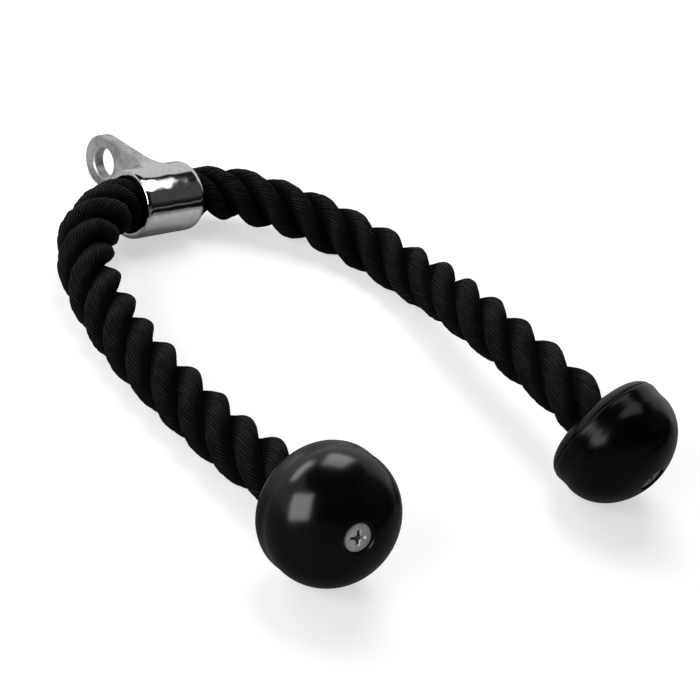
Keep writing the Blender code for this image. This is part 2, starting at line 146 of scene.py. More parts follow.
def through(points, step):
    """Points about step apart on a smooth curve through the given ones."""
    knots = [Vector(p) for p in points]
    knots = [2 * knots[0] - knots[1], *knots, 2 * knots[-1] - knots[-2]]
    fine = []
    for a, b, c, d in zip(knots, knots[1:], knots[2:], knots[3:]):
        t0, t1 = 0.0, (b - a).length ** 0.5
        t2 = t1 + (c - b).length ** 0.5
        t3 = t2 + (d - c).length ** 0.5
        for k in range(CURVE_STEPS):
            t = t1 + (t2 - t1) * k / CURVE_STEPS
            ab = a * ((t1 - t) / (t1 - t0)) + b * ((t - t0) / (t1 - t0))
            bc = b * ((t2 - t) / (t2 - t1)) + c * ((t - t1) / (t2 - t1))
            cd = c * ((t3 - t) / (t3 - t2)) + d * ((t - t2) / (t3 - t2))
            abc = ab * ((t2 - t) / (t2 - t0)) + bc * ((t - t0) / (t2 - t0))
            bcd = bc * ((t3 - t) / (t3 - t1)) + cd * ((t - t1) / (t3 - t1))
            fine.append(abc * ((t2 - t) / (t2 - t1)) + bcd * ((t - t1) / (t2 - t1)))
    fine.append(knots[-2])
    fine = np.array(fine, float)
    lengths = lengths_along(fine)
    even = np.linspace(0.0, lengths[-1], max(3, round(lengths[-1] / step)) + 1)
    return np.stack([np.interp(even, lengths, fine[:, i]) for i in range(3)], axis=1)


def smoothed(x):
    x = np.clip(x, 0.0, 1.0)
    return x * x * (3 - 2 * x)


# Rope, in metres
STRANDS = 3
STRAND_CENTRE = 7.0 * MM
STRAND_RADIAL = 7.54 * MM
STRAND_TANGENTIAL = 7.5 * MM
CORE_GAP = 0.25 * MM
YARNS = 31
YARN_POINTS = 6
YARN_HEIGHTS = (0.0, 0.64, 0.93, 1.0, 0.93, 0.64)
YARN_PROUD = 0.46 * MM
YARN_TURN = -1.75
RING_STEP = 1.4 * MM
INNER_KNOT = 8.0 * MM
# Half the length of the piece of rope that stays in the barrel when the arms bend
MIDDLE_HALF = 9.2 * MM

# Unevenness of the yarns: how much, and the length of its waves
YARN_SWELL = 0.5
YARN_LIFT = 0.1 * MM
YARN_WAVE = 7.0 * MM
VALLEY_WANDER = 0.24
VALLEY_WAVE = 11.0 * MM
STRAND_SWELL = 0.012
STRAND_WAVE = 30.0 * MM
YARN_SEED, STRAND_SEED, VALLEY_SEED = 100, 200, 300

# Inside the collar and the balls the rope is this share of its width, and gains the rest over a short way
SQUEEZE = 0.962
SQUEEZE_FADE = 10.0 * MM

# Lay of the strands on each side of the collar's middle, set to the grooves in the photograph:
# radians of turn for each metre, their slow change, and the turn at the middle
LAY_LEFT = (2 * math.pi / 0.0588, 14.0, -0.304)
LAY_RIGHT = (2 * math.pi / 0.0610, -20.0, -0.180)
LAY_BLEND_HALF = 30.0 * MM
# The last strand before the right ball is laid longer by this turn, from a start and over a span
LAST_LAY = -0.56
LAST_LAY_START = 0.262
LAST_LAY_SPAN = 0.055

# Painted shade in the grooves between strands: its least share, up to a distance in millimetres from the
# rope's centre, the span it grows over, and half the difference in wear between yarns
GROOVE_SHADE_LEAST = 0.22
GROOVE_SHADE_START = 7.0
GROOVE_SHADE_SPAN = 6.0
WORN_SPREAD = 0.1


def arm_points(side, reach, table):
    start = COLLAR_PLACE + Vector((side * PIVOT_REACH, 0, 0))
    points = [start]
    for x, y, z in table:
        points.append(Vector((start.x + reach * x, start.y + reach * y, z)))
    return points


LEFT_POINTS = arm_points(-1, LEFT_REACH, LEFT_ROUTE)
RIGHT_POINTS = arm_points(1, RIGHT_REACH, RIGHT_ROUTE)


def rope_line():
    """The rope's centre line from ball to ball, with its distance from the collar's middle."""
    inside = (-BARREL_HALF, -INNER_KNOT, 0.0, INNER_KNOT, BARREL_HALF)
    inside = [COLLAR_PLACE + Vector((x, 0, 0)) for x in inside]
    ends = []
    for points in (LEFT_POINTS, RIGHT_POINTS):
        along = (points[-1] - points[-2]).normalized()
        ends.append(points[-1] + along * SOCKET_LEAD)
    line = through([ends[0], *reversed(LEFT_POINTS), *inside, *RIGHT_POINTS, ends[1]], RING_STEP)
    lengths = lengths_along(line)
    middle = int(np.argmin(np.linalg.norm(line - np.array(COLLAR_PLACE), axis=1)))
    return line, lengths - lengths[middle], middle


def steady_frames(line, middle):
    """Normal and side at each point of line, turned as little as possible from point to point."""
    tangents = np.gradient(line, axis=0)
    tangents /= np.linalg.norm(tangents, axis=1)[:, None]
    normals = np.zeros_like(tangents)
    normals[middle] = (0, 0, 1)
    for order in (range(middle + 1, len(line)), range(middle - 1, -1, -1)):
        for i in order:
            before = i - 1 if i > middle else i + 1
            n = normals[before] - tangents[i] * (normals[before] @ tangents[i])
            normals[i] = n / np.linalg.norm(n)
    return normals, np.cross(tangents, normals)


def lay_angle(s):
    """Turn of the strands about the rope's line at distance s from the collar's middle."""
    share = smoothed((s + LAY_BLEND_HALF) / (2 * LAY_BLEND_HALF))
    left = LAY_LEFT[0] * s + LAY_LEFT[1] * s * s
    right = LAY_RIGHT[0] * s + LAY_RIGHT[1] * s * s
    last = LAST_LAY * smoothed((s - LAST_LAY_START) / LAST_LAY_SPAN)
    return np.where(s < 0, left, right) + LAY_LEFT[2] * (1 - share) + LAY_RIGHT[2] * share + last


def slow_noise(count, lengths, wave, seed):
    """Rows of smooth random values between about -1 and 1 along the rope."""
    draws = np.random.default_rng(seed)
    span = lengths[-1] - lengths[0]
    knots = max(4, int(span / wave) + 2)
    at = np.linspace(lengths[0], lengths[-1], knots)
    x = (lengths - at[0]) / (at[1] - at[0])
    i = np.clip(x.astype(int), 0, knots - 2)
    f = smoothed(x - i)
    rows = []
    for _ in range(count):
        values = draws.uniform(-1, 1, knots)
        rows.append(values[i] * (1 - f) + values[i + 1] * f)
    return np.array(rows)


def strand_section(s, turn, strand):
    """Each ring's points out from the rope's centre and beside the strand's middle, and their crests."""
    count = YARNS * YARN_POINTS
    yarn = np.arange(count) // YARN_POINTS
    crest = np.tile(YARN_HEIGHTS, YARNS)
    own = slow_noise(YARNS, s, YARN_WAVE, YARN_SEED + strand)[yarn].T
    proud = YARN_PROUD * (1.0 + YARN_SWELL * own) * crest[None, :] + YARN_LIFT * own
    fuller = 1.0 + STRAND_SWELL * slow_noise(1, s, STRAND_WAVE, STRAND_SEED + strand)[0][:, None]
    # the valleys between the yarns wander to and fro
    valleys = VALLEY_WANDER * slow_noise(YARNS, s, VALLEY_WAVE, VALLEY_SEED + strand)
    share = np.tile(np.arange(YARN_POINTS) / YARN_POINTS, YARNS)[:, None]
    place = np.arange(count)[:, None] / YARN_POINTS
    place = place + valleys[yarn] * (1 - share) + valleys[(yarn + 1) % YARNS] * share
    phi = 2 * math.pi * place.T / YARNS + YARN_TURN * turn[:, None]
    out = STRAND_CENTRE + (STRAND_RADIAL * fuller + proud) * np.cos(phi)
    beside = (STRAND_TANGENTIAL * fuller + proud) * np.sin(phi)
    # the crests also darken the colour in the valleys between yarns: partly wear, partly painted shade
    return out, beside, crest * (1 - WORN_SPREAD + WORN_SPREAD * own)


def pressed_flat(out, beside):
    """Strands press flat against each other: what passes the plane between two is laid on it."""
    slope = math.sqrt(3)
    past = np.abs(beside) - slope * out > 0
    flat = np.maximum((out + slope * np.abs(beside)) / 4, CORE_GAP)
    edge = np.sign(beside) * (slope * flat - CORE_GAP / 4)
    return np.where(past, flat, out), np.where(past, edge, beside)


def strand_rings(line, s, frames, strand):
    """Rings of one strand: the places of their points, and each point's painted shade and wear from 0 to
    1.
    """
    normals, sides = frames
    turn = lay_angle(s) + 2 * math.pi * strand / STRANDS
    radial = np.cos(turn)[:, None] * normals + np.sin(turn)[:, None] * sides
    across = -np.sin(turn)[:, None] * normals + np.cos(turn)[:, None] * sides
    out, beside, crest = strand_section(s, turn, strand)
    out, beside = pressed_flat(out, beside)
    edge = np.minimum(np.abs(s) - BARREL_HALF, np.minimum(s - s[0], s[-1] - s) - 2 * SOCKET_LEAD)
    tight = SQUEEZE + (1 - SQUEEZE) * smoothed(edge / SQUEEZE_FADE)
    places = (
        line[:, None, :]
        + (tight[:, None] * out)[:, :, None] * radial[:, None, :]
        + (tight[:, None] * beside)[:, :, None] * across[:, None, :]
    )
    # painted shade: what faces its neighbour is darkened to black, and the strands' outer side stays paler
    shade_and_wear = GROOVE_SHADE_LEAST + (1 - GROOVE_SHADE_LEAST) * smoothed((out / MM - GROOVE_SHADE_START) / GROOVE_SHADE_SPAN)
    return places, shade_and_wear * crest


def ring_faces(rings, count, first=0, closed=False):
    """Quads that face out between neighbouring rings. In a closed tube the last ring meets the first."""
    i = np.arange(rings if closed else rings - 1)[:, None]
    a, b = first + i * count, first + (i + 1) % rings * count
    k = np.arange(count)[None, :]
    n = (k + 1) % count
    return np.stack([a + k, a + n, b + n, b + k], axis=2).reshape(-1, 4)


def laid_rope(name, start, end, rope):
    """Three closed strands between two places on the rope's line, given by their numbers."""
    line, s, frames = rope
    part, rings = slice(start, end + 1), end + 1 - start
    points, quads, tris, crests, uvs, offset = [], [], [], [], [], 0
    count = YARNS * YARN_POINTS
    for strand in range(STRANDS):
        places, crest = strand_rings(line, s, frames, strand)
        places, crest = places[part], crest[part]
        points.append(places.reshape(-1, 3))
        quads.append(ring_faces(rings, count, offset))
        crests.append(crest.ravel())
        # one unit of U for each yarn, and one of V for each centimetre
        around = np.broadcast_to(np.arange(count) / YARN_POINTS, crest.shape)
        along = np.broadcast_to(s[part][:, None] * 100, crest.shape)
        uvs.append(np.stack([around, along], axis=2).reshape(-1, 2))
        for ring, flip in ((0, False), (rings - 1, True)):
            middle = offset + rings * count + (1 if flip else 0)
            k = np.arange(count) + offset + ring * count
            n = np.roll(k, -1)
            centre = np.full(count, middle)
            tris.append(np.stack([k, n, centre] if flip else [n, k, centre], axis=1))
        points.append(np.array([places[0].mean(0), places[-1].mean(0)]))
        crests.append(np.zeros(2))
        uvs.append(np.zeros((2, 2)))
        offset += rings * count + 2
    obj = new_mesh(name, np.concatenate(points), np.concatenate(quads), np.concatenate(tris))
    point_values(obj.data, "crest", np.concatenate(crests))
    uv = np.concatenate(uvs)
    layer = obj.data.uv_layers.new(name="yarns")
    corners = np.zeros(len(obj.data.loops), int)
    obj.data.loops.foreach_get("vertex_index", corners)
    layer.data.foreach_set("uv", uv[corners].astype(np.float32).ravel())
    return obj


# Shapes from distance fields, in millimetres
GRID_PARTS = 40
SURFACE_PASSES = 4
GRADIENT_STEP = 0.02


def smooth_min(a, b, k):
    h = np.clip(0.5 + 0.5 * (b - a) / k, 0, 1)
    return b + (a - b) * h - k * h * (1 - h)


def smooth_max(a, b, k):
    return -smooth_min(-a, -b, k)


def field_gradient(field, points):
    grad = np.zeros_like(points)
    for axis in range(3):
        shift = np.zeros(3)
        shift[axis] = GRADIENT_STEP
        grad[:, axis] = (field(points + shift) - field(points - shift)) / (2 * GRADIENT_STEP)
    return grad


def field_cells(values, cells):
    """Cells of a grid that the surface crosses: their numbers, and the middle of their crossings."""
    total, hits = np.zeros((*cells, 3)), np.zeros(cells)
    corners = [(i, j, k) for i in (0, 1) for j in (0, 1) for k in (0, 1)]

    def at(offset):
        return values[tuple(slice(o, o + c) for o, c in zip(offset, cells))]

    for a in corners:
        for axis in range(3):
            if a[axis]:
                continue
            b = tuple(1 if i == axis else v for i, v in enumerate(a))
            va, vb = at(a), at(b)
            cross = (va < 0) != (vb < 0)
            share = np.where(cross, va / np.where(cross, va - vb, 1), 0)
            for i in range(3):
                total[..., i] += np.where(cross, a[i] + (share if i == axis else 0), 0)
            hits += cross
    used = hits > 0
    index = np.full(cells, -1)
    index[used] = np.arange(used.sum())
    return index, np.argwhere(used) + total[used] / hits[used][:, None]


def field_quads(values, cells, index):
    """A quad round each edge of the grid that the surface crosses, facing out of the solid."""
    quads = []
    for axis in range(3):
        u, v = (axis + 1) % 3, (axis + 2) % 3
        inner = [slice(1, -1)] * 3
        inner[axis] = slice(0, cells[axis])
        here = values[tuple(inner)]
        inner[axis] = slice(1, cells[axis] + 1)
        there = values[tuple(inner)]
        for inside_first in (True, False):
            hit = (here < 0) & (there >= 0) if inside_first else (here >= 0) & (there < 0)
            base = np.argwhere(hit) + np.array([0 if i == axis else 1 for i in range(3)])
            ring = []
            for du, dv in ((-1, -1), (0, -1), (0, 0), (-1, 0)):
                c = base.copy()
                c[:, u] += du
                c[:, v] += dv
                ring.append(index[c[:, 0], c[:, 1], c[:, 2]])
            quad = np.stack(ring, axis=1)
            quads.append(quad if inside_first else quad[:, ::-1])
    return np.concatenate(quads)


def in_model(points, matrix):
    """Points of a local frame in millimetres, moved to the model's frame in metres."""
    return points * MM @ np.array(matrix.to_3x3()).T + np.array(matrix.translation)


def field_mesh(name, field, low, high, step, matrix):
    """A closed mesh where field, in millimetres, is zero. Its normals come from the field."""
    axes = [np.arange(lo, hi + step, step) for lo, hi in zip(low, high)]
    shape = tuple(len(a) for a in axes)
    grid = np.stack(np.meshgrid(*axes, indexing="ij"), axis=3).reshape(-1, 3)
    values = np.concatenate([field(part) for part in np.array_split(grid, GRID_PARTS)]).reshape(shape)
    cells = tuple(n - 1 for n in shape)
    index, middles = field_cells(values, cells)
    points = np.array(low) + step * middles
    quads = field_quads(values, cells, index)
    # the points are moved along the gradient until they lie on the surface
    for _ in range(SURFACE_PASSES):
        grad = field_gradient(field, points)
        size = np.maximum((grad * grad).sum(1), 0.05)
        move = -(field(points) / size)[:, None] * grad
        points = points + np.clip(move, -0.5 * step, 0.5 * step)
    normals = field_gradient(field, points)
    normals /= np.maximum(np.linalg.norm(normals, axis=1), 1e-9)[:, None]
    obj = new_mesh(name, in_model(points, matrix), quads)
    turned_normals = normals @ np.array(matrix.to_3x3()).T
    obj.data.normals_split_custom_set_from_vertices(turned_normals.tolist())
    return obj, points


# Collar, in millimetres: u runs to the eye, v up and w along the barrel
BARREL_RADIUS = 19.0
BARREL_END = 19.5
BORE_RADIUS = 14.6
MOUTH_RADIUS = 16.4
LIP_RADIUS = 17.9
FLARE_DEPTH = 6.0
END_ROUND = 3.2
EYE_REACH = 45.5
EYE_RADIUS = 14.2
EYE_HOLE = 8.0
EYE_SETBACK = 2.2
TAB_HALF = 3.6
TAB_ROOT = 18.4
TAB_EDGE = 1.0
TAB_FILLET = 5.5
COLLAR_STEP = 0.45
COLLAR_MARGIN = 1.3

# How softly the collar's forms run into each other
END_SOFTNESS = 0.5
TAB_SOFTNESS = 1.2
BORE_SOFTNESS = 0.4
EYE_SOFTNESS = 2.4

# Towards the middle of the barrel the tab fades out: from u, over a length, by a depth
TAB_FADE_START = 5.0
TAB_FADE_LENGTH = 8.0
TAB_FADE_DEPTH = 3.0

# The tab's cast finish starts this far outside the barrel, and is full after the span
CAST_START = 0.5
CAST_SPAN = 5.0

# The bore and the eye hole are duller. This starts so far outside their radius and grows over a span,
# and it ends so far inside the mouths
BORE_DULL_START = 1.6
BORE_DULL_SPAN = 1.5
MOUTH_DULL_START = 2.5
MOUTH_DULL_SPAN = 3.0
HOLE_DULL_START = 2.2
HOLE_DULL_SPAN = 2.0
HOLE_DULL = 0.9


def cast_waves(p):
    """The slight unevenness of a polished casting."""
    u, v, w = p[:, 0], p[:, 1], p[:, 2]
    slow = np.sin(0.33 * u + 0.9) * np.sin(0.27 * v + 0.41 * w + 0.3) + np.sin(0.46 * w - 0.21 * v + 1.7)
    quick = np.sin(0.91 * u + 0.35 * w + 2.1) * np.sin(0.77 * v - 0.52 * w + 0.4)
    return 0.016 * slow + 0.004 * quick


def tab_field(u, v, half):
    """The eye's tab: the hull of a circle round the barrel and one round the eye, with a foot."""
    r = np.hypot(u, v)
    lean = (TAB_ROOT - EYE_RADIUS) / EYE_REACH
    cosine = math.sqrt(1 - lean * lean)
    side = np.abs(v)
    along = u * cosine - side * lean
    on_side = u * lean + side * cosine - TAB_ROOT
    eye = np.hypot(u - EYE_REACH, v) - EYE_RADIUS
    outline = np.where(along < 0, r - TAB_ROOT, np.where(along > EYE_REACH * cosine, eye, on_side))
    # the tab swells to a foot on the barrel
    swell = np.clip(BARREL_RADIUS + TAB_FILLET - r, 0, TAB_FILLET)
    thick = TAB_HALF + TAB_FILLET - np.sqrt(np.maximum(TAB_FILLET**2 - swell**2, 0))
    q1, q2 = outline + TAB_EDGE, half - thick + TAB_EDGE
    inside = np.minimum(np.maximum(q1, q2), 0)
    tab = inside + np.hypot(np.maximum(q1, 0), np.maximum(q2, 0)) - TAB_EDGE
    # inside the barrel it fades out, so that it leaves no ring on the barrel's skin
    return tab + TAB_FADE_DEPTH * np.clip((TAB_FADE_START - u) / TAB_FADE_LENGTH, 0, 1) ** 2


def collar_field(p):
    u, v, w = p[:, 0], p[:, 1], p[:, 2]
    r = np.hypot(u, v)
    half = np.abs(w)
    # outside of the barrel, its ends rounded on an ellipse
    rise = BARREL_RADIUS - LIP_RADIUS
    over = np.maximum(half - (BARREL_END - END_ROUND), 0) / END_ROUND
    outer = LIP_RADIUS + rise * np.sqrt(np.clip(1 - over * over, 0, 1))
    barrel = smooth_max(r - outer, half - BARREL_END, END_SOFTNESS)
    body = smooth_min(barrel, tab_field(u, v, half), TAB_SOFTNESS)
    # bore with its flared mouths
    into = np.clip((half - (BARREL_END - FLARE_DEPTH)) / FLARE_DEPTH, 0, 1)
    bore = BORE_RADIUS + (MOUTH_RADIUS - BORE_RADIUS) * (1 - np.sqrt(np.clip(1 - into * into, 0, 1)))
    body = smooth_max(body, bore - r, BORE_SOFTNESS)
    # eye hole with rounded edges
    hole = EYE_HOLE - np.hypot(u - (EYE_REACH - EYE_SETBACK), v)
    body = smooth_max(body, hole, EYE_SOFTNESS)
    return body + cast_waves(p)


def make_collar(chrome):
    droop = math.asin((BARREL_RADIUS - EYE_RADIUS) / EYE_REACH)
    axes = Matrix(((0, 0, 1), (1, 0, 0), (0, 1, 0))).to_4x4()
    matrix = Matrix.Translation(COLLAR_PLACE) @ Matrix.Rotation(-droop, 4, "X") @ axes
    around, beyond = BARREL_RADIUS + COLLAR_MARGIN, BARREL_END + COLLAR_MARGIN
    low, high = (-around, -around, -beyond), (EYE_REACH + EYE_RADIUS + COLLAR_MARGIN, around, beyond)
    collar, local = field_mesh("chromed_eye_collar", collar_field, low, high, COLLAR_STEP, matrix)
    u, v, w = local[:, 0], local[:, 1], local[:, 2]
    r = np.hypot(u, v)
    point_values(collar.data, "tab", smoothed((r - BARREL_RADIUS - CAST_START) / CAST_SPAN))
    bore = smoothed((BORE_RADIUS + BORE_DULL_START - r) / BORE_DULL_SPAN)
    bore *= smoothed((BARREL_END - MOUTH_DULL_START - np.abs(w)) / MOUTH_DULL_SPAN)
    from_eye = np.hypot(u - (EYE_REACH - EYE_SETBACK), v)
    hole = HOLE_DULL * smoothed((EYE_HOLE + HOLE_DULL_START - from_eye) / HOLE_DULL_SPAN)
    point_values(collar.data, "bore", np.maximum(bore, hole))
    collar.data.materials.append(chrome)
    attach(collar, "collar")
    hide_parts("eye_collar")
    return collar


# Balls, in millimetres: radius and height above the ball's back
BALL_SIDES = 160
BALL_RADIUS = 33.6
DOME_FOOT = 17.5
DOME_LENGTH = 27.0
DOME_STEPS = 70
RECESS_RADIUS = 7.5
RECESS_EDGE = 0.5
RECESS_LIP_DROP = 0.18
RECESS_LIP_TURNS = (70, 0)
RECESS_LIP_STEPS = 5
RECESS_FLOOR_ROUND = 0.3
SEAT_HEIGHT = 37.06
SHANK_HOLE = 3.15
SOCKET_DEPTH = 27.0
SOCKET_RADIUS = 14.6
SHARP_DEGREES = 32.0
# The rounded back is an arc, from where it lies flat to the crease
BACK_CENTRE = (22.5, 9.2)
BACK_RADII = (11.2, 9.2)
BACK_TURNS = (-90, -21)
BACK_STEPS = 22
CREASE = ((32.94, 6.20), (32.72, 6.42), (32.86, 6.72))
# The band and the slight waist between the crease and the dome
BAND = ((33.28, 7.05), (33.60, 7.9), (33.70, 9.2), (33.55, 11.6), (33.36, 14.4), (33.50, 16.6))
BAND_STEP = 0.4
# The rounded mouth of the socket, from inside it to the back, whose middle is slightly dished
SOCKET_MOUTH = (
    (SOCKET_RADIUS, 1.4), (SOCKET_RADIUS + 0.2, 0.85), (SOCKET_RADIUS + 0.7, 0.6), (20.0, 0.35),
)


def end_matrix(points):
    """The frame of a ball: its origin at the end of the arm's route, and local Z out along the rope."""
    axis = (points[-1] - points[-2]).normalized()
    return Matrix.Translation(points[-1]) @ axis.to_track_quat("Z", "Y").to_matrix().to_4x4()


def arc(centre, radii, start, end, steps):
    turns = np.radians(np.linspace(start, end, steps + 1))
    return np.stack([centre[0] + radii[0] * np.cos(turns), centre[1] + radii[1] * np.sin(turns)], 1)


def flowing(points, step):
    """Points about step apart on a smooth line through (radius, height) points."""
    return through([(x, y, 0.0) for x, y in points], step)[:, :2]


def turned(name, profile, sides, matrix):
    """A closed ring turned about local Z from (radius, height) in millimetres, the solid on the left."""
    turns = 2 * math.pi * np.arange(sides) / sides
    ring = np.stack([np.cos(turns), np.sin(turns)], 1)
    flat = profile[:, None, :1] * ring[None]
    points = np.concatenate([flat, np.broadcast_to(profile[:, None, 1:], (*flat.shape[:2], 1))], 2)
    quads = ring_faces(len(profile), sides, closed=True)
    obj = new_mesh(name, in_model(points.reshape(-1, 3), matrix), quads)
    obj.data.set_sharp_from_angle(angle=math.radians(SHARP_DEGREES))
    return obj


def ball_profile():
    """Outline from the ball's back over its dome into the recess, and down the socket to the back."""
    edge_radius = RECESS_RADIUS + RECESS_EDGE
    rim = math.degrees(math.acos(edge_radius / BALL_RADIUS))
    edge_height = DOME_FOOT + DOME_LENGTH * math.sin(math.radians(rim)) - RECESS_LIP_DROP
    dome = arc((0, DOME_FOOT), (BALL_RADIUS, DOME_LENGTH), 0, rim, DOME_STEPS)
    lip_centre, lip_radii = (edge_radius, edge_height - RECESS_EDGE), (-RECESS_EDGE, RECESS_EDGE)
    lip = arc(lip_centre, lip_radii, *RECESS_LIP_TURNS, RECESS_LIP_STEPS)
    back = arc(BACK_CENTRE, BACK_RADII, *BACK_TURNS, BACK_STEPS)
    inner = [
        (RECESS_RADIUS, SEAT_HEIGHT + RECESS_FLOOR_ROUND),
        (RECESS_RADIUS - RECESS_FLOOR_ROUND, SEAT_HEIGHT),
        (SHANK_HOLE, SEAT_HEIGHT),
        (SHANK_HOLE, SOCKET_DEPTH),
        (SOCKET_RADIUS, SOCKET_DEPTH),
    ]
    return np.concatenate([back, CREASE, flowing(BAND, BAND_STEP), dome, lip, inner, SOCKET_MOUTH])


def make_ball(side, points, rubber):
    ball = turned(f"{side}_rubber_ball", ball_profile(), BALL_SIDES, end_matrix(points))
    ball.data.materials.append(rubber)
    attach(ball, f"{side}_arm")
    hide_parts(f"{side}_stop_ball")
    return ball


# Screws, in millimetres. HEAD_FOOT is the height of the head's underside above the ball's back
HEAD_RADIUS = 7.1
HEAD_HEIGHT = 4.2
HEAD_CROWN = 0.7
CROWN_POWER = 2.4
HEAD_FOOT = 38.87
SHANK_RADIUS = 2.75
SCREW_LENGTH = 30.0
POINT_LENGTH = 6.0
THREAD_PITCH = 1.8
THREAD_DEPTH = 0.55
THREAD_ROOT = 0.6
THREAD_START = -3.0
CROSS_HALF = 4.2
CROSS_WIDTH = 0.8
CROSS_DEPTH = 2.5
CROSS_HEART = 2.35
# What the cross loses from top to floor: shares of its length and width, and millimetres of its heart
CROSS_HALF_LOSS = 0.62
CROSS_WIDTH_LOSS = 0.25
CROSS_HEART_LOSS = 0.7
SCREW_STEP = 0.22
SCREW_MARGIN = 0.6
# How far each screw is turned, in degrees
SCREW_TURNS = {"left": 4.4, "right": 40.0}
# The cross recess darkens from this far below the top and grows darker over a span, and stays clear of the
# head's edge
RECESS_DARK_START = 0.25
RECESS_DARK_SPAN = 0.9
RECESS_DARK_MARGIN = 0.8


def head_top(r):
    """Height of the crowned head's top at distance r from the screw's axis."""
    return HEAD_HEIGHT - HEAD_CROWN * (r / HEAD_RADIUS) ** CROWN_POWER


def screw_shank(r, turn, z):
    """Threaded shank with a point, reaching 1 mm into the head."""
    tooth = np.abs(((z / THREAD_PITCH + turn / (2 * math.pi)) % 1.0) - 0.5) * 2
    point = np.clip((z + SCREW_LENGTH) / POINT_LENGTH, 0.02, 1.0)
    thread = np.where(z < THREAD_START, THREAD_DEPTH * tooth**1.5, 0.0)
    skin = (r - (SHANK_RADIUS - THREAD_ROOT + thread) * point) * 0.8
    return smooth_max(skin, np.maximum(z - 1, -SCREW_LENGTH - z), 0.2)


def screw_cross(x, y, z):
    """Cross recess that narrows from its top, where depth is 0, to its floor, where depth is 1."""
    depth = np.clip((HEAD_HEIGHT - z) / CROSS_DEPTH, -0.4, 1.2)
    long_half = CROSS_HALF * (1 - CROSS_HALF_LOSS * depth)
    wide_half = CROSS_WIDTH * (1 - CROSS_WIDTH_LOSS * depth)
    arm = smooth_min(
        smooth_max(np.abs(x) - long_half, np.abs(y) - wide_half, 0.5),
        smooth_max(np.abs(y) - long_half, np.abs(x) - wide_half, 0.5),
        0.25,
    )
    heart = np.abs(x) + np.abs(y) - (CROSS_HEART - CROSS_HEART_LOSS * depth)
    return smooth_max(smooth_min(arm, heart * 0.7, 0.35), HEAD_HEIGHT - CROSS_DEPTH - z, 0.5)


def screw_field(p):
    """Screw with the underside of its head at height 0. Factors under 1 even out the field's slope."""
    x, y, z = p[:, 0], p[:, 1], p[:, 2]
    r = np.hypot(x, y)
    head = smooth_max(smooth_max(r - HEAD_RADIUS, (z - head_top(r)) * 0.93, 0.6), -z, 0.25)
    body = smooth_min(head, screw_shank(r, np.arctan2(y, x), z), 0.3)
    return smooth_max(body, -screw_cross(x, y, z), 0.3)


def make_screw(side, points, zinc):
    turn = Matrix.Rotation(math.radians(SCREW_TURNS[side]), 4, "Z")
    matrix = end_matrix(points) @ Matrix.Translation((0, 0, HEAD_FOOT * MM)) @ turn
    around = HEAD_RADIUS + SCREW_MARGIN
    low = (-around, -around, -SCREW_LENGTH - SCREW_MARGIN)
    high = (around, around, HEAD_HEIGHT + SCREW_MARGIN)
    screw, local = field_mesh(f"{side}_cross_screw", screw_field, low, high, SCREW_STEP, matrix)
    r = np.hypot(local[:, 0], local[:, 1])
    sunk = smoothed((head_top(r) - local[:, 2] - RECESS_DARK_START) / RECESS_DARK_SPAN)
    point_values(screw.data, "sunk", sunk * (r < HEAD_RADIUS - RECESS_DARK_MARGIN))
    screw.data.materials.append(zinc)
    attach(screw, f"{side}_arm")
    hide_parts(f"{side}_end_screw")


# The rope's ends inside the balls, in millimetres above the ball's back
ROPE_END_FOOT = 3.3
ROPE_END_TOP = 25.2
ROPE_END_RADIUS = 12.45
ROPE_END_BORE = 5.8
ROPE_END_ROWS = 30
ROPE_END_SIDES = 252
GROOVE_DEPTH = 0.55
END_YARNS = 36
END_YARN_HEIGHT = 0.12
END_YARN_TURN = 6.0


def make_rope_end(side, points, sign, rope, nylon):
    """The end of the rope inside its ball: the three strands crimped round the anchor."""
    rows, count = ROPE_END_ROWS, ROPE_END_SIDES
    start = rope[1][0] if sign < 0 else rope[1][-1]
    heights = np.linspace(ROPE_END_FOOT, ROPE_END_TOP, rows)
    a = 2 * math.pi * np.arange(count) / count
    places = []
    for height in heights:
        distance = start + sign * (height * MM - SOCKET_LEAD)
        turn = sign * float(lay_angle(np.array([distance]))[0])
        lobes = np.abs(np.cos(STRANDS / 2 * (a - turn)))
        yarns = END_YARN_HEIGHT * np.abs(np.sin(END_YARNS * a + END_YARN_TURN * turn))
        radius = ROPE_END_RADIUS - GROOVE_DEPTH * (1 - lobes) ** 3 - END_YARN_HEIGHT + yarns
        places.append(np.stack([radius * np.cos(a), radius * np.sin(a), np.full(count, height)], 1))
    bore = ROPE_END_BORE
    for height in heights[::-1]:
        places.append(np.stack([bore * np.cos(a), bore * np.sin(a), np.full(count, height)], 1))
    local = np.concatenate(places)
    quads = ring_faces(2 * rows, count, closed=True)
    obj = new_mesh(f"{side}_crimped_strands", in_model(local, end_matrix(points)), quads)
    obj.data.materials.append(nylon)
    point_values(obj.data, "crest", np.full(len(local), 0.5))
    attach(obj, f"{side}_arm")
    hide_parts(f"{side}_rope_end")


